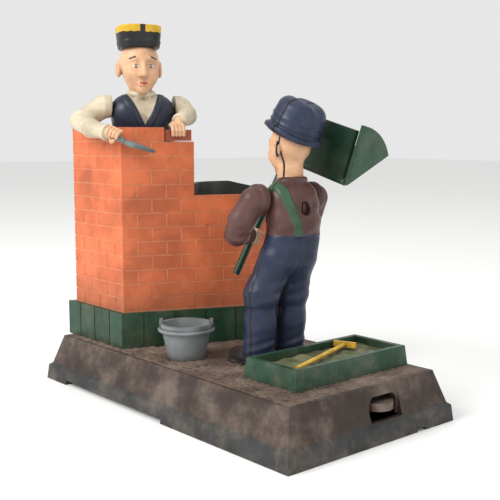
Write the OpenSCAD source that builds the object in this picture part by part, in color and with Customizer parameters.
// Cast-iron mechanical bank: a mason behind an unfinished brick wall and a hod carrier facing it.
// +X runs towards the lever end, -Y is the front long side, +Z is up.
// The origin is the middle of the plinth's rest plane.

/* [Plinth] */
// Length of the plinth at its foot
base_l = 187; // [180:1:195]
// Depth of the plinth at its foot
base_d = 103.4; // [100:0.2:108]
// Height of the deck
deck_z = 23.35; // [22.8:0.05:24]
// How far the deck edge is set in from the foot
deck_inset = 7; // [6:0.5:8]
// Height of the dark foot band
band_h = 8.6; // [8:0.1:9]
// How far the top of the band is set in
band_inset = 2.4; // [2:0.1:3]
// Thickness of the plinth walls
base_wall = 4; // [3.5:0.1:4.5]
// Thickness of the deck
deck_t = 2.85; // [2.5:0.05:3]

/* [Brick wall] */
// Place of the wall's front left corner along the plinth
wall_x = -40.55; // [-41:0.05:-40]
// Place of the wall's front left corner across the plinth
wall_y = -36.87; // [-37:0.01:-36.5]
// Angle of the wall's front to the plinth's end
wall_skew = 22.4; // [21:0.1:24]
// Length of the whole front face
wall_len = 84.5; // [84:0.1:85]
// Length of the tall part of the front
pier_len = 36.5; // [36:0.1:37]
// Height of one course of bricks
course_h = 7.03; // [7:0.01:7.05]
// Top of the green footing
footing_z = 41.1; // [40:0.1:42]
// How far the footing stands proud of the bricks
footing_proud = 2.57; // [2:0.01:3]
// Thickness of the cast walls
wall_t = 3; // [2.8:0.1:3.2]
// Where the notch for the last brick starts
notch_at = 21.5; // [21:0.1:22]
// Length of one brick in the bond
brick_l = 14.7; // [13:0.1:16]

/* [Mechanism] */
// How far the finger lever turns
lever_press = 5.5; // [5:0.5:6]
// How far the hod tips forward
hod_tip = 24; // [20:1:25]
// How far the mason's arms rise
mason_raise = 36; // [34:1:37]
// Crank radius on the carrier's arm shaft
carrier_crank = 5.82; // [5.7:0.01:5.9]
// Crank radius on the mason's arm shaft
mason_crank = 5.12; // [5.1:0.01:5.3]
// Radius of the arm shafts
shaft_r = 2; // [1.8:0.05:2]
// Running clearance of pins and shafts
fit = 0.06; // [0.04:0.01:0.08]

/* [Carrier] */
// Place of the carrier's arm shaft along the plinth
carrier_x = 31; // [30.5:0.1:31.5]
// Place of the carrier's middle across the plinth
carrier_y = 3; // [2.5:0.1:3.5]
// Height of the carrier's arm shaft
carrier_z = 100; // [99.5:0.1:100.5]

/* [Hod] */
// Length of the trough
hod_l = 49; // [46:0.5:50]
// Width of each board
hod_w = 24; // [22:0.5:25]
// Thickness of the boards
hod_t = 2.2; // [2:0.1:2.5]
// How far the trough's front is lifted at rest
hod_pitch = 15; // [14:0.5:17]
// How far the trough leans outwards
hod_roll = 34; // [32:1:36]
// Half the angle between the boards
hod_half = 27; // [25:1:30]

/* [Mason] */
// How far the mason's arm shaft is behind the wall's front
mason_back = 20; // [19.5:0.1:20.5]
// How far the mason's middle is along the wall
mason_along = 15; // [14.5:0.1:15.5]
// Height of the mason's arm shaft
mason_z = 143; // [142.5:0.1:143.5]

/* [Hidden] */
$fn = 48;
LIMB_FN = 24;
HULL_FN = 32;
EPS = 0.01;
GAP = 0.3;

// Plinth
half_l = base_l / 2;
half_d = base_d / 2;
deck_under = deck_z - deck_t;
plate_z = 2.6;
plate_t = 1.8;
boss_r = 4;
boss_at = [for (x = [-76, 76], y = [-34, 34]) [x, y]];
trap_c = [-30, 20];
trap_r = 18;
trap_pivot = [-30, -2];
screw_r = 1.5;
head_r = 2.8;
head_h = 1.2;

// Brick wall
top_z = footing_z + 13 * course_h;
notch_z = top_z - course_h;
low_z = footing_z + 8 * course_h + 1.3;
pier_back = 42.3;
pier_left = pier_back * tan(wall_skew);
hopper_r = (wall_len - pier_len) / 2 - 0.1;
hopper_y = pier_len + 0.1 + hopper_r;
hopper_z = 104.5;
hopper_screw_y = 17.6;
joint_w = 0.7;
joint_d = 0.35;

// Mechanism
lever_y = 8.5;
lever_pin_x = 62;
lever_pin_z = 10;
lever_w = 7;
lever_t = 4;
lever_end_x = 26;
contact_x = 29;
rod_r = 1.2;
push_rod_back = carrier_crank * (1 + cos(hod_tip / 2)) / 2;
push_rod_xy = [carrier_x + push_rod_back, carrier_y + 4.5];
pull_rod_back = mason_crank * (1 + cos(mason_raise / 2)) / 2;
pull_rod_xy = wall_point(-mason_back - pull_rod_back, mason_along);
transfer_from = [contact_x, lever_y];
transfer_mid = (transfer_from + pull_rod_xy) / 2;
transfer_dir = pull_rod_xy - transfer_from;
transfer_arm = norm(transfer_dir) / 2;
transfer_ang = atan2(transfer_dir[1], transfer_dir[0]);
transfer_z = 12.9;
transfer_t = 2;
transfer_pin_r = 1.5;
crank_pin_r = 1;
eye_r = 2.8;
spring_x = 46;
spring_r = 2.7;
spring_wire = 0.45;
spring_turns = 6;

// Carrier
torso_at = [-5, -2];
leg_at = [[0.5, 12.7], [-1.5, -4.5]];
leg_r = 7;
crotch_z = 66;
hod_keel = [49, 24, 107.5];
pole_low = [3.5, -1.4, 62.1];
pole_top_x = 12;
pole_top = [pole_top_x, hod_keel[1], hod_keel[2] + (hod_keel[0] - pole_top_x) * tan(hod_pitch)];
pole_r = 1.8;

// Trimmings
box_x = [40.5, 73.5];
box_y = [-28.5, 43];
box_z = 32.6;
box_t = 2.6;
mortar_z = 30.2;
bucket_at = [-4.5, -25.5];
bucket_h = 17;
bucket_r0 = 8.8;
bucket_r1 = 12.3;

function wall_point(x, y) = [
    wall_x + x * cos(wall_skew) + y * sin(wall_skew),
    wall_y - x * sin(wall_skew) + y * cos(wall_skew)];

// Local frame of the wall: x forward of its front face, y along it, z up.
module in_wall() {
    translate([wall_x, wall_y, 0]) rotate([0, 0, -wall_skew]) children();
}

// Local frame of the mason: x forward, y to the figure's left, at the arm shaft.
module in_mason() {
    in_wall() translate([-mason_back, mason_along, 0]) children();
}

// Local frame of the carrier: x forward, y to the figure's left, at the arm shaft.
module in_carrier() {
    translate([carrier_x, carrier_y, 0]) rotate([0, 0, 180]) children();
}

// Local frame of the hod: x from its rear end to its front end, z up the middle of the V.
module in_hod() {
    translate(hod_keel) rotate([0, 0, 180]) rotate([0, -hod_pitch, 0]) rotate([hod_roll, 0, 0]) children();
}

// Local frame of the transfer lever: x from its pivot towards the mason's rod.
module in_transfer() {
    translate([transfer_mid[0], transfer_mid[1], 0]) rotate([0, 0, transfer_ang]) children();
}

// A solid with sloping sides: the overlap of two profiles, given as [inset, z] points.
module sloped_block(l, d, profile) {
    n = len(profile);
    left = [for (p = profile) [-l / 2 + p[0], p[1]]];
    right = [for (i = [n - 1:-1:0]) [l / 2 - profile[i][0], profile[i][1]]];
    front = [for (p = profile) [-d / 2 + p[0], p[1]]];
    back = [for (i = [n - 1:-1:0]) [d / 2 - profile[i][0], profile[i][1]]];
    intersection() {
        translate([0, d, 0]) rotate([90, 0, 0]) linear_extrude(2 * d) polygon(concat(left, right));
        translate([-l, 0, 0]) rotate([90, 0, 90]) linear_extrude(2 * l) polygon(concat(front, back));
    }
}

// A rounded limb between two points.
module limb(p, q, rp, rq) {
    hull() {
        translate(p) sphere(rp, $fn = LIMB_FN);
        translate(q) sphere(rq, $fn = LIMB_FN);
    }
}

// A round bar between two points.
module bar(p, q, r) {
    d = q - p;
    translate(p) rotate([0, acos(d[2] / norm(d)), atan2(d[1], d[0])]) cylinder(h = norm(d), r = r);
}

// A screw with a slotted head, its shank pointing up from z = 0.
module screw(shank) {
    difference() {
        union() {
            cylinder(h = shank, r = screw_r);
            translate([0, 0, -head_h]) cylinder(h = head_h, r = head_r);
        }
        translate([-head_r, -0.35, -head_h - EPS]) cube([2 * head_r, 0.7, 0.6]);
    }
}

module slot_outline(w, h, r) {
    square([w, h - r]);
    translate([r, 0]) square([w - 2 * r, h]);
    translate([r, h - r]) circle(r);
    translate([w - r, h - r]) circle(r);
}

// Recesses between the bricks of one face, drawn in its x-z plane and cut to joint_d.
// They stop at arris from the face's near corner, and open over its far end.
module brick_joints(l, rows, arris) {
    for (i = [1:rows - 1]) {
        translate([arris, -joint_d, footing_z + i * course_h - joint_w / 2]) cube([l, 2 * joint_d, joint_w]);
    }
    for (i = [0:rows - 1]) {
        shift = brick_l * (i % 2 == 0 ? 0.5 : 1);
        for (x = [shift:brick_l:l - 1.5]) {
            if (abs(x - pier_len) > 1 || i < 8) {
                translate([x - joint_w / 2, -joint_d, footing_z + i * course_h])
                    cube([joint_w, 2 * joint_d, course_h + joint_w / 2]);
            }
        }
    }
}

// Screw places, each [x, y] on the plinth
wall_screw_at = [wall_point(-7, 5), wall_point(-7, 26), wall_point(-35, 0), wall_point(-35, 26),
    wall_point(-6.6, hopper_y - hopper_screw_y), wall_point(-6.6, hopper_y + hopper_screw_y)];
box_screw_at = [[57, -18], [57, 32]];
foot_screw_at = [for (p = leg_at) [carrier_x - p[0] - 2.5, carrier_y - p[1]]];

// Places of the long pier screws, each [y, z] on the wall's front
pier_screw_at = [[3.5, 106.5], [29.8, 106.5], [22, 52]];

// Plate under the mason: it rests on the two upper pier screws.
bracket_z = pier_screw_at[0][1] + screw_r;
bracket_t = 3;
bracket_screw_y = 6.7;

module drill(places, z0, z1, r) {
    for (p = places) {
        translate([p[0], p[1], z0]) cylinder(h = z1 - z0, r = r);
    }
}

module base_casting() {
    color([0.24, 0.18, 0.15]) difference() {
        union() {
            difference() {
                sloped_block(base_l, base_d, [[0, 0], [0.8, band_h - 1.2], [band_inset, band_h], [deck_inset, deck_z]]);
                sloped_block(base_l - 2 * base_wall, base_d - 2 * base_wall,
                    [[0, -EPS], [0.8, band_h], [deck_inset, deck_under]]);
            }
            drill(boss_at, plate_z + plate_t, deck_under + EPS, boss_r);
            for (y = [lever_y - lever_w / 2 - 3.3, lever_y + lever_w / 2 + GAP]) {
                translate([lever_pin_x - 4, y, lever_pin_z - 4]) cube([8, 3, deck_under - lever_pin_z + 4 + EPS]);
            }
            in_transfer() for (y = [-6.3, 3.3]) {
                translate([-4, y, transfer_z - 2.5]) cube([8, 3, deck_under - transfer_z + 2.5 + EPS]);
            }
            translate([spring_x, lever_y, deck_under - 2]) cylinder(h = 2 + EPS, r = spring_r - 2 * spring_wire - GAP);
        }
        drill(boss_at, plate_z, deck_under - 3, screw_r);
        drill(concat(wall_screw_at, box_screw_at, foot_screw_at, [bucket_at]), deck_under - EPS, deck_z + EPS, screw_r);
        drill([push_rod_xy, pull_rod_xy], deck_under - EPS, deck_z + EPS, rod_r + 0.6);
        in_wall() translate([-20, hopper_y - 15, deck_under - EPS]) cube([14, 30, deck_t + 2 * EPS]);
        translate([lever_pin_x, 0, lever_pin_z]) rotate([-90, 0, 0]) cylinder(h = 2 * lever_y, r = shaft_r);
        in_transfer() translate([0, -8, transfer_z + transfer_t / 2])
            rotate([-90, 0, 0]) cylinder(h = 16, r = transfer_pin_r);
        translate([half_l - 12, lever_y - 8.5, 8.8]) rotate([90, 0, 90]) linear_extrude(14) slot_outline(17, 10.2, 3);
        translate([half_l - 5.2, lever_y - 10, 8.8]) rotate([90, 0, 90]) linear_extrude(6) slot_outline(20, 12.2, 4.5);
        translate([-74, -half_d - 1, -EPS]) cube([84, 8, 2.4]);
        translate([-40, half_d - 7, -EPS]) cube([84, 8, 2.4]);
        translate([half_l - 7, 26, -EPS]) cube([8, 6, 1.4]);
    }
}

module base_plate() {
    color([0.16, 0.14, 0.13]) difference() {
        translate([-half_l + base_wall + 1.2, -half_d + base_wall + 1.2, plate_z])
            cube([base_l - 2 * base_wall - 2.4, base_d - 2 * base_wall - 2.4, plate_t]);
        drill(boss_at, plate_z - 1, plate_z + plate_t + 1, screw_r);
        drill([trap_c], plate_z - 1, plate_z + plate_t + 1, trap_r - 2);
        drill([trap_pivot], plate_z - 1, plate_z + plate_t + 1, screw_r);
    }
}

module plate_screws() {
    color([0.4, 0.38, 0.35]) for (p = boss_at) {
        translate([p[0], p[1], plate_z]) screw(12);
    }
}

module coin_trap() {
    color([0.3, 0.28, 0.26]) translate([0, 0, plate_z - 1.3]) difference() {
        union() {
            translate([trap_c[0], trap_c[1], 0]) cylinder(h = 1, r = trap_r);
            translate([trap_pivot[0], trap_pivot[1], 0]) cylinder(h = 1, r = 5);
            translate([trap_pivot[0] - 5, trap_pivot[1], 0]) cube([10, 8, 1]);
        }
        translate([trap_pivot[0], trap_pivot[1], -1]) cylinder(h = 3, r = screw_r + fit);
        translate([trap_c[0], trap_c[1] + trap_r - 4, -1]) cylinder(h = 3, r = 1.4);
    }
}

module coin_trap_rivet() {
    color([0.5, 0.46, 0.4]) translate([trap_pivot[0], trap_pivot[1], plate_z - 1.4]) {
        translate([0, 0, -0.9]) cylinder(h = 0.9, r = 3);
        cylinder(h = plate_t + 1.4, r = screw_r);
    }
}

// Plan of the pier, the low wall and the hopper, grown by g.
module wall_plan(g) {
    polygon([[g, -g * tan(45 - wall_skew / 2)], [g, wall_len + g], [-wall_t, wall_len + g], [-wall_t, pier_len + g],
        [-pier_back - g, pier_len + g], [-pier_back - g, -(pier_back + g) * tan(wall_skew) - g / cos(wall_skew)]]);
    intersection() {
        translate([-wall_t, hopper_y]) circle(hopper_r + g, $fn = 96);
        translate([-60 - wall_t, 0]) square([60, 120]);
    }
}

module front_outline() {
    square([pier_len, notch_z - deck_z]);
    square([notch_at, top_z - deck_z]);
    square([wall_len, low_z - deck_z]);
}

module wall_front() {
    color([0.83, 0.36, 0.19]) difference() {
        union() {
            in_wall() {
                translate([-wall_t, 0, deck_z]) rotate([90, 0, 90]) linear_extrude(wall_t) front_outline();
                for (y = [1.5, 22.5]) {
                    translate([-10.5, y, deck_z]) cube([8, 7, 8]);
                }
                for (p = pier_screw_at) {
                    translate([-11, p[0], p[1]]) rotate([0, 90, 0]) cylinder(h = 9, r = 3.4);
                }
            }
            in_wall() translate([0, 0, deck_z]) linear_extrude(top_z - deck_z) polygon([[0, 0],
                [-pier_back, -pier_left], [-pier_back, -pier_left + wall_t / cos(wall_skew)],
                [-wall_t / 2, (wall_t - wall_t / 2 * sin(wall_skew)) / cos(wall_skew)]]);
        }
        in_wall() rotate([0, 0, 90]) brick_joints(wall_len, 13, 0.6);
        translate([wall_x, wall_y, 0]) mirror([1, 0, 0]) brick_joints(47, 13, 0.6);
        drill([wall_screw_at[0], wall_screw_at[1]], deck_z - EPS, deck_z + 6, screw_r);
        in_wall() for (p = pier_screw_at) {
            translate([-12, p[0], p[1]]) rotate([0, 90, 0]) cylinder(h = 10.5, r = screw_r);
        }
    }
}

module wall_rear() {
    rear_from = -pier_left + wall_t / cos(wall_skew) + wall_t * tan(wall_skew) + 0.05;
    color([0.8, 0.34, 0.18]) in_wall() difference() {
        union() {
            translate([-pier_back, rear_from, deck_z]) cube([wall_t, pier_len - rear_from, top_z - deck_z]);
            translate([-pier_back + wall_t - EPS, pier_len - wall_t, deck_z])
                cube([pier_back - 2 * wall_t + EPS, wall_t, notch_z - deck_z]);
            for (y = [-3.5, 22.5]) {
                translate([-pier_back + wall_t - EPS, y, deck_z]) cube([8, 7, 8]);
            }
        }
        translate([-pier_back, 0, 0]) rotate([0, 0, 90]) translate([rear_from, 0, 0])
            brick_joints(pier_len - rear_from, 13, -1);
        for (p = [[-35, 0], [-35, 26]]) {
            translate([p[0], p[1], deck_z - EPS]) cylinder(h = 6, r = screw_r);
        }
        for (p = pier_screw_at) {
            translate([-pier_back - 1, p[0], p[1]]) rotate([0, 90, 0]) cylinder(h = 6, r = screw_r);
        }
    }
}

module wall_footing() {
    h = footing_z - deck_z;
    color([0.11, 0.27, 0.16]) in_wall() translate([0, 0, deck_z]) difference() {
        linear_extrude(h) difference() {
            wall_plan(footing_proud);
            wall_plan(0);
        }
        for (y = [9, 25, 41, 57, 73]) {
            translate([footing_proud - joint_d, y, -EPS]) cube([1, joint_w, h + 2 * EPS]);
        }
        rotate([0, 0, wall_skew]) for (x = [-38, -24, -10]) {
            translate([x, -footing_proud - 1 + joint_d, -EPS]) cube([joint_w, 1, h + 2 * EPS]);
        }
    }
}

module hopper() {
    color([0.35, 0.4, 0.34]) in_wall() difference() {
        union() {
            difference() {
                translate([-wall_t, hopper_y, deck_z]) cylinder(h = hopper_z - deck_z, r = hopper_r, $fn = 96);
                translate([-wall_t, hopper_y, deck_z - EPS]) cylinder(h = hopper_z, r = hopper_r - 2.4, $fn = 96);
            }
            for (y = [-hopper_screw_y, hopper_screw_y]) {
                translate([-6.6, hopper_y + y, deck_z]) cylinder(h = 8, r = 4.2);
            }
        }
        for (y = [-hopper_screw_y, hopper_screw_y]) {
            translate([-6.6, hopper_y + y, deck_z - EPS]) cylinder(h = 6, r = screw_r);
        }
        translate([-wall_t, 0, deck_z - EPS]) cube([60, 120, 100]);
        translate([-60, hopper_y + 2, hopper_z]) rotate([-13, 0, 0]) cube([80, 60, 30]);
    }
}

module wall_screws() {
    color([0.35, 0.33, 0.3]) for (p = wall_screw_at) {
        translate([p[0], p[1], deck_under]) screw(deck_t + 5.9);
    }
}

module pier_screws() {
    color([0.35, 0.33, 0.3]) in_wall() for (p = pier_screw_at) {
        translate([-pier_back, p[0], p[1]]) rotate([0, 90, 0]) screw(pier_back - 2);
    }
}

// Plate across the pier on which the mason stands.
module mason_bracket() {
    z = bracket_z;
    color([0.2, 0.19, 0.18]) in_wall() difference() {
        translate([0, 0, z]) linear_extrude(bracket_t) polygon([[-11.3, -1], [-11.3, pier_len - wall_t],
            [-35, pier_len - wall_t], [-35, -9.5]]);
        translate([-mason_back - pull_rod_back, mason_along, z - 1]) cylinder(h = 6, r = rod_r + 0.6);
        for (y = [-bracket_screw_y, bracket_screw_y]) {
            translate([-mason_back + 3, mason_along + y, z - 1]) cylinder(h = 6, r = screw_r);
        }
    }
}

module bracket_screws() {
    color([0.35, 0.33, 0.3]) in_mason() for (y = [-bracket_screw_y, bracket_screw_y]) {
        translate([3, y, bracket_z]) screw(bracket_t + 5.8);
    }
}

// The mason's torso, head and cap as one solid, before it is split.
module mason_form() {
    z0 = bracket_z + bracket_t;
    hull() {
        translate([0, -5.5, z0]) cylinder(h = 5, r = 10, $fn = HULL_FN);
        translate([0, 5.5, z0]) cylinder(h = 5, r = 10, $fn = HULL_FN);
        translate([0, -6.5, mason_z - 3]) sphere(9, $fn = HULL_FN);
        translate([0, 6.5, mason_z - 3]) sphere(9, $fn = HULL_FN);
    }
    translate([0, 0, mason_z + 3]) cylinder(h = 9, r = 5.2);
    translate([1, -1.5, 0]) {
        hull() {
            translate([0, 0, 162.5]) sphere(10.6, $fn = HULL_FN);
            translate([1.5, 0, 155.5]) sphere(7.6, $fn = HULL_FN);
        }
        translate([-0.5, 0, 169.5]) cylinder(h = 14, r1 = 10, r2 = 11.6);
    }
}

module mason_half(side) {
    color([0.12, 0.14, 0.22]) in_mason() difference() {
        intersection() {
            mason_form();
            translate([side > 0 ? 0 : -40, -40, 100]) cube([40, 80, 100]);
        }
        translate([-8.9, -4, 0]) cube([16.4, 8, mason_z + 5.2]);
        translate([0, -30, mason_z]) rotate([-90, 0, 0]) cylinder(h = 60, r = shaft_r + fit);
        for (y = [-11.5, 11.5]) {
            translate([-15, y, mason_z - 14]) rotate([0, 90, 0]) cylinder(h = 20, r = screw_r);
            translate([-15, y, mason_z - 14]) rotate([0, 90, 0]) cylinder(h = 9, r = head_r);
        }
        for (y = [-bracket_screw_y, bracket_screw_y]) {
            translate([3, y, 100]) cylinder(h = bracket_z + bracket_t + 6 - 100, r = screw_r);
        }
    }
}

module mason_front() {
    mason_half(1);
}

module mason_rear() {
    mason_half(-1);
}

module mason_screws() {
    color([0.4, 0.38, 0.35]) in_mason() for (y = [-11.5, 11.5]) {
        translate([-6, y, mason_z - 14]) rotate([0, 90, 0]) screw(11);
    }
}

// A shaft across a figure with a crank pointing back, its tip lifted by up degrees.
module crank_shaft(half_left, half_right, crank, up) {
    translate([0, -half_right, 0]) rotate([-90, 0, 0]) cylinder(h = half_left + half_right, r = shaft_r);
    rotate([0, up, 0]) {
        translate([-crank, 1.3, -1.3]) cube([crank, 1.7, 2.6]);
        translate([-crank, 1.3, 0]) rotate([-90, 0, 0]) cylinder(h = 1.7, r = 1.9);
        translate([-crank, -1.3, 0]) rotate([-90, 0, 0]) cylinder(h = 2.7, r = crank_pin_r);
    }
}

module mason_arm_shaft() {
    color([0.45, 0.43, 0.4]) in_mason() translate([0, 0, mason_z])
        crank_shaft(19, 19, mason_crank, mason_raise / 2);
}

// Places on the mason's arms, in the figure's frame
m_elbow_r = [-2, -32.5, 134.8];
m_hand_r = [23.6, -19, 129];
m_elbow_l = [9, 21.5, 138];
m_hand_l = [18.6, 12.6, 134.6];
m_brick = [[13.6, 7, notch_z + 0.4], [7, 13.1, 5.4]];

module held_brick_form() {
    translate(m_brick[0]) cube(m_brick[1]);
}

module trowel_form() {
    bar([23.6, -19, 128.5], [26, -14.5, 125.5], 1.3);
    hull() {
        translate([25.4, -14, 125]) rotate([0, 12, 0]) cylinder(h = 1.3, r = 1.6, $fn = HULL_FN);
        translate([26.4, -10, 123.2]) rotate([0, 12, 0]) cylinder(h = 1.3, r = 2.8, $fn = HULL_FN);
        translate([26.6, -0.5, 120.2]) rotate([0, 12, 0]) cylinder(h = 1.2, r = 0.8, $fn = HULL_FN);
    }
}

module mason_arm_right() {
    color([0.85, 0.8, 0.7]) in_mason() difference() {
        union() {
            translate([0, -20.5, mason_z]) rotate([-90, 0, 0]) cylinder(h = 4.6, r = 5.6);
            limb([0, -21.4, mason_z - 0.5], m_elbow_r, 5.2, 5);
            limb(m_elbow_r, m_hand_r, 5, 3.9);
        }
        translate([0, -19, mason_z]) rotate([-90, 0, 0]) cylinder(h = 10, r = shaft_r);
        trowel_form();
    }
}

module trowel() {
    color([0.42, 0.48, 0.46]) in_mason() trowel_form();
}

module mason_arm_left() {
    color([0.85, 0.8, 0.7]) in_mason() difference() {
        union() {
            translate([0, 15.9, mason_z]) rotate([-90, 0, 0]) cylinder(h = 4.6, r = 5.6);
            limb([0, 21.2, mason_z - 0.5], m_elbow_l, 5, 4.2);
            limb(m_elbow_l, m_hand_l, 4.2, 3.6);
        }
        translate([0, 9, mason_z]) rotate([-90, 0, 0]) cylinder(h = 10, r = shaft_r);
        held_brick_form();
    }
}

module held_brick() {
    color([0.6, 0.22, 0.14]) in_mason() held_brick_form();
}

// An eye in the x-z plane at the end of a rod.
module eye() {
    rotate([90, 0, 0]) difference() {
        cylinder(h = 2, r = eye_r, center = true);
        cylinder(h = 3, r = crank_pin_r + 0.6, center = true);
    }
}

module mason_pull_rod() {
    eye_z = mason_z + mason_crank * sin(mason_raise / 2);
    foot_z = transfer_z - 0.6 - 1.6;
    color([0.5, 0.48, 0.45]) in_mason() translate([-pull_rod_back, 0, 0]) {
        translate([0, 0, foot_z]) cylinder(h = eye_z - eye_r + 0.6 - foot_z, r = rod_r);
        translate([0, 0, foot_z]) cylinder(h = 1.6, r = 2.5);
        translate([0, 0, eye_z]) eye();
    }
}

// The carrier's body, head and hat as one solid, before it is split.
module carrier_form() {
    hip_z = crotch_z - 10;
    limb([leg_at[0][0], leg_at[0][1], hip_z], [torso_at[0], torso_at[1] + 6, crotch_z + 6], leg_r, 8);
    limb([leg_at[1][0], leg_at[1][1], hip_z], [torso_at[0] - 2, torso_at[1] + 1, crotch_z + 6], leg_r, 8);
    for (p = leg_at) {
        translate([p[0], p[1], deck_z]) cylinder(h = hip_z - deck_z, r = leg_r);
        hull() {
            translate([p[0] + 15.5, p[1] + 1, deck_z + 1.5]) sphere(4.8, $fn = HULL_FN);
            translate([p[0] + 2, p[1], deck_z + 3]) sphere(5.6, $fn = HULL_FN);
        }
    }
    hull() {
        translate([torso_at[0] - 1, torso_at[1] + 6.2, 71]) sphere(9, $fn = HULL_FN);
        translate([torso_at[0] - 2, torso_at[1] + 1, 71]) sphere(9, $fn = HULL_FN);
        translate([torso_at[0] - 1.5, torso_at[1] + 5.6, 84]) sphere(9, $fn = HULL_FN);
        translate([torso_at[0] - 2.5, torso_at[1] - 3.5, 84]) sphere(9, $fn = HULL_FN);
        translate([torso_at[0] + 1, torso_at[1] + 3.6, 99.5]) sphere(9.4, $fn = HULL_FN);
        translate([torso_at[0] + 1, torso_at[1] - 3.6, 99.5]) sphere(9.4, $fn = HULL_FN);
    }
    translate([-3, -2.5, 104]) cylinder(h = 10, r = 6);
    hull() {
        translate([-2.5, -3, 124.5]) sphere(10.4, $fn = HULL_FN);
        translate([-0.5, -3, 119]) sphere(8.6, $fn = HULL_FN);
    }
    translate([-3.5, -3, 128.6]) rotate([8, -23, 0]) {
        cylinder(h = 1.6, r = 14);
        cylinder(h = 16, r1 = 11, r2 = 9.6);
    }
}

// Place of the screw that joins the carrier's halves, [y, z]
c_screw = [-0.8, 96];

module carrier_half(side) {
    color(side > 0 ? [0.16, 0.18, 0.3] : [0.3, 0.17, 0.15]) in_carrier() difference() {
        intersection() {
            carrier_form();
            translate([side > 0 ? 0 : -60, -60, deck_z]) cube([60, 120, 140]);
        }
        translate([-9.9, leg_at[1][1] - 3.6, crotch_z - 2]) cube([12.4, 5.2, carrier_z - crotch_z + 6.7]);
        translate([0, -30, carrier_z]) rotate([-90, 0, 0]) cylinder(h = 60, r = shaft_r + fit);
        translate([-push_rod_back, leg_at[1][1], 0]) cylinder(h = crotch_z, r = rod_r + 0.5);
        translate([-30, c_screw[0], c_screw[1]]) rotate([0, 90, 0]) cylinder(h = 34, r = screw_r);
        translate([-30, c_screw[0], c_screw[1]]) rotate([0, 90, 0]) cylinder(h = 18.6, r = head_r + 0.2);
        for (p = leg_at) {
            translate([p[0] + 2.5, p[1], 0]) cylinder(h = deck_z + 10, r = screw_r);
        }
    }
}

module carrier_front() {
    carrier_half(1);
}

module carrier_rear() {
    carrier_half(-1);
}

module carrier_screw() {
    color([0.32, 0.18, 0.16]) in_carrier() translate([-11.4, c_screw[0], c_screw[1]]) rotate([0, 90, 0]) screw(15);
}

module foot_screws() {
    color([0.35, 0.33, 0.3]) for (p = foot_screw_at) {
        translate([p[0], p[1], deck_under]) screw(deck_t + 9.9);
    }
}

// Places on the carrier's arms, in the figure's frame
c_left_y = 12.6;
c_right_y = -16.8;
c_elbow_l = [7.5, 21, 84.5];
c_elbow_r = [7, -24, 86];

function to_carrier(p) = [carrier_x - p[0], carrier_y - p[1], p[2]];
function on_pole(t) = to_carrier(pole_low + t * (pole_top - pole_low));

module carrier_arm_shaft() {
    color([0.45, 0.43, 0.4]) in_carrier() translate([0, leg_at[1][1], carrier_z]) mirror([0, 1, 0])
        crank_shaft(leg_at[1][1] - c_right_y + 3, c_left_y + 3 - leg_at[1][1], carrier_crank, -hod_tip / 2);
}

module pole_form() {
    bar(pole_low, pole_top, pole_r);
}

// One arm of the carrier: a shoulder boss, the sleeve and a hand round the pole.
module carrier_arm(side, y, elbow, t) {
    color([0.3, 0.17, 0.15]) difference() {
        in_carrier() {
            translate([0, side > 0 ? y : y - 4, carrier_z]) rotate([-90, 0, 0]) cylinder(h = 4, r = 7);
            limb([0, y + side * 4.8, carrier_z - 0.5], elbow, 6.2, 5.2);
            limb(elbow, on_pole(t), 5.2, 3.4);
        }
        in_carrier() translate([0, side > 0 ? 0 : y - 3, carrier_z])
            rotate([-90, 0, 0]) cylinder(h = abs(y) + 3, r = shaft_r);
        pole_form();
    }
}

module carrier_arm_left() {
    carrier_arm(1, c_left_y, c_elbow_l, 0.33);
}

module carrier_arm_right() {
    carrier_arm(-1, c_right_y, c_elbow_r, 0.62);
}

module hod_pole() {
    color([0.1, 0.3, 0.14]) pole_form();
}

module board() {
    r = 5;
    translate([0, hod_t / 2, 0]) rotate([90, 0, 0]) linear_extrude(hod_t) {
        square([hod_l - r, hod_w]);
        square([hod_l, hod_w - r]);
        translate([hod_l - r, hod_w - r]) circle(r);
    }
}

module hod_trough() {
    pole_dir = (pole_top - pole_low) / norm(pole_top - pole_low);
    color([0.06, 0.2, 0.1]) difference() {
        union() {
            in_hod() {
                rotate([hod_half, 0, 0]) board();
                rotate([-hod_half, 0, 0]) board();
                rotate([0, 90, 0]) cylinder(h = hod_l, r = 1.5);
            }
            bar(pole_top - 6 * pole_dir, pole_top + 0.5 * pole_dir, pole_r + 1.2);
        }
        pole_form();
    }
}

module hod_end_board() {
    r = hod_w + 3;
    color([0.2, 0.42, 0.27]) in_hod() rotate([90, 0, 90]) {
        translate([0, 0, -3.6]) linear_extrude(hod_t) intersection() {
            circle(r, $fn = 96);
            polygon([[0, -1], [2 * r * sin(hod_half), 2 * r * cos(hod_half)],
                [-2 * r * sin(hod_half), 2 * r * cos(hod_half)]]);
        }
        translate([0, 0, -1.5]) cylinder(h = 1.5, r = 1.5);
    }
}

module carrier_push_rod() {
    z0 = lever_pin_z + lever_t / 2 + 0.4;
    z1 = carrier_z - carrier_crank * sin(hod_tip / 2);
    color([0.5, 0.48, 0.45]) in_carrier() translate([-push_rod_back, leg_at[1][1], 0]) {
        translate([0, 0, z0]) cylinder(h = z1 - eye_r + 0.6 - z0, r = rod_r);
        translate([0, 0, z1]) eye();
    }
}

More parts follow.
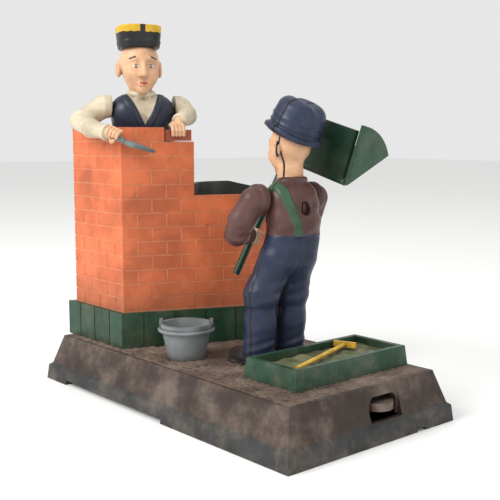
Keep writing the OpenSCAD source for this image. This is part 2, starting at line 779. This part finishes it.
module finger_lever() {
    color([0.33, 0.3, 0.27]) difference() {
        union() {
            translate([lever_end_x, lever_y - lever_w / 2, lever_pin_z - lever_t / 2])
                cube([76 - lever_end_x, lever_w, lever_t]);
            translate([lever_pin_x, lever_y - lever_w / 2, lever_pin_z]) rotate([-90, 0, 0]) cylinder(h = lever_w, r = 4.2);
            translate([72, lever_y - lever_w / 2, lever_pin_z - lever_t / 2]) cube([5, lever_w, 8.4]);
            translate([74, lever_y - lever_w / 2, 13]) cube([12, lever_w, 3.4]);
            translate([84.8, lever_y, 13]) cylinder(h = 3.4, r = 7.2);
        }
        translate([lever_pin_x, 0, lever_pin_z]) rotate([-90, 0, 0]) cylinder(h = 20, r = shaft_r + fit);
    }
}

module lever_pin() {
    l = lever_w + 6.6;
    color([0.5, 0.48, 0.45]) translate([lever_pin_x, lever_y - l / 2, lever_pin_z]) rotate([-90, 0, 0])
        cylinder(h = l, r = shaft_r);
}

module transfer_lever() {
    color([0.33, 0.3, 0.27]) in_transfer() difference() {
        union() {
            translate([-transfer_arm - 2, -2.5, transfer_z]) cube([2 * transfer_arm + 6, 5, transfer_t]);
            translate([transfer_arm, 0, transfer_z]) cylinder(h = transfer_t, r = 4);
            translate([0, -3, transfer_z + transfer_t / 2]) rotate([-90, 0, 0]) cylinder(h = 6, r = 3);
            translate([-transfer_arm, 0, transfer_z - 0.5]) cylinder(h = 0.7, r = 1.5);
        }
        translate([transfer_arm, 0, transfer_z - 1]) cylinder(h = transfer_t + 2, r = rod_r + 0.8);
        translate([0, -4, transfer_z + transfer_t / 2]) rotate([-90, 0, 0]) cylinder(h = 8, r = transfer_pin_r + fit);
    }
}

module transfer_pin() {
    color([0.5, 0.48, 0.45]) in_transfer() translate([0, -6.3, transfer_z + transfer_t / 2])
        rotate([-90, 0, 0]) cylinder(h = 12.6, r = transfer_pin_r);
}

// Coil swept along a helix as one closed solid.
module return_spring() {
    sides = 6;
    steps = 14 * spring_turns;
    z0 = lever_pin_z + lever_t / 2 + spring_wire + 0.1;
    z1 = deck_under - spring_wire - 0.1;
    r = spring_r - spring_wire;
    ring = [for (i = [0:steps], k = [0:sides - 1])
        let (a = 360 * spring_turns * i / steps, b = 360 * k / sides, q = r + spring_wire * cos(b))
        [q * cos(a), q * sin(a), z0 + (z1 - z0) * i / steps + spring_wire * sin(b)]];
    skin = [for (i = [0:steps - 1], k = [0:sides - 1])
        let (a = i * sides + k, b = i * sides + (k + 1) % sides)
        [a, a + sides, b + sides, b]];
    caps = [[for (k = [0:sides - 1]) k], [for (k = [sides - 1:-1:0]) steps * sides + k]];
    color([0.55, 0.53, 0.5]) translate([spring_x, lever_y, 0]) polyhedron(ring, concat(skin, caps));
}

module mortar_box() {
    l = box_x[1] - box_x[0];
    d = box_y[1] - box_y[0];
    h = box_z - deck_z;
    color([0.15, 0.36, 0.22]) difference() {
        translate([(box_x[0] + box_x[1]) / 2, (box_y[0] + box_y[1]) / 2, deck_z])
            sloped_block(l, d, [[0, 0], [1, h]]);
        translate([box_x[0] + box_t + 1, box_y[0] + box_t + 1, deck_z + 2])
            cube([l - 2 * box_t - 2, d - 2 * box_t - 2, h]);
        drill(box_screw_at, deck_z - EPS, deck_z + 1.8, screw_r);
    }
}

module mortar() {
    color([0.3, 0.36, 0.22]) translate([box_x[0] + box_t + 1, box_y[0] + box_t + 1, deck_z + 2])
        cube([box_x[1] - box_x[0] - 2 * box_t - 2, box_y[1] - box_y[0] - 2 * box_t - 2, mortar_z - deck_z - 2]);
}

module hoe() {
    p = [66.5, -21, mortar_z + 1.2];
    q = [49.7, 26.2, mortar_z + 1.2];
    color([0.86, 0.66, 0.14]) {
        bar(p, q, 1);
        translate([q[0], q[1], mortar_z]) rotate([0, 0, atan2(q[1] - p[1], q[0] - p[0]) - 90])
            translate([-5.5, -0.8, 0]) cube([11, 1.6, 2.6]);
    }
}

module mortar_box_screws() {
    color([0.35, 0.33, 0.3]) for (p = box_screw_at) {
        translate([p[0], p[1], deck_under]) screw(deck_t + 1.7);
    }
}

module bucket() {
    color([0.5, 0.55, 0.54]) translate([bucket_at[0], bucket_at[1], deck_z]) difference() {
        union() {
            rotate_extrude($fn = 96) polygon([[0, 0], [bucket_r0, 0], [bucket_r1 - 0.4, bucket_h - 2],
                [bucket_r1, bucket_h - 2], [bucket_r1, bucket_h], [bucket_r1 - 1.4, bucket_h],
                [bucket_r0 - 1.2, 1.8], [0, 1.8]]);
            rotate([0, 0, 49]) for (a = [0, 180]) rotate([0, 0, a]) {
                translate([bucket_r1 - 1.2, -1.4, bucket_h - 3]) cube([1.6, 2.8, 5]);
            }
            translate([0, 0, bucket_h - 2.9]) rotate([0, 0, 229]) rotate_extrude(angle = 180, $fn = 96)
                translate([bucket_r1 + 0.4, 0]) circle(0.9, $fn = 24);
        }
        translate([0, 0, -EPS]) cylinder(h = 1.4, r = screw_r);
    }
}

module bucket_screw() {
    color([0.35, 0.33, 0.3]) translate([bucket_at[0], bucket_at[1], deck_under]) screw(deck_t + 1.3);
}

base_casting();
base_plate();
plate_screws();
coin_trap();
coin_trap_rivet();
wall_front();
wall_rear();
wall_footing();
hopper();
wall_screws();
pier_screws();
mason_bracket();
bracket_screws();
mason_front();
mason_rear();
mason_screws();
mason_arm_shaft();
mason_arm_right();
mason_arm_left();
trowel();
held_brick();
mason_pull_rod();
carrier_front();
carrier_rear();
carrier_screw();
foot_screws();
carrier_arm_shaft();
carrier_arm_left();
carrier_arm_right();
hod_pole();
hod_trough();
hod_end_board();
carrier_push_rod();
finger_lever();
lever_pin();
transfer_lever();
transfer_pin();
return_spring();
mortar_box();
mortar();
hoe();
mortar_box_screws();
bucket();
bucket_screw();
